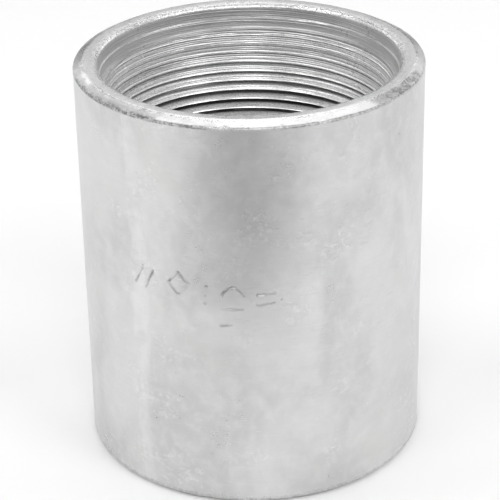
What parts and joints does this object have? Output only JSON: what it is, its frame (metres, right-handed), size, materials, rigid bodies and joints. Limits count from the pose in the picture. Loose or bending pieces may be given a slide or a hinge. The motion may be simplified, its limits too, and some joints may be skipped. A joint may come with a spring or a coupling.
{
  "type": "pipe coupling",
  "caption": "Straight steel pipe coupling: a plain sleeve with bevelled ends, a recess in each mouth and right-hand taper pipe thread running in from both ends.",
  "frame": {"origin": "centre of the lower end face, on the coupling's axis", "axes": "+Z along the coupling's axis, towards the upper mouth; the part is the same either way up"},
  "size_m": [0.073, 0.073, 0.0868],
  "materials": {
    "galvanised_steel": "zinc-coated steel, satin, with fine turning lines"
  },
  "bodies": {
    "root": {"coupling_sleeve": "galvanised_steel"}
  },
  "joints": []
}
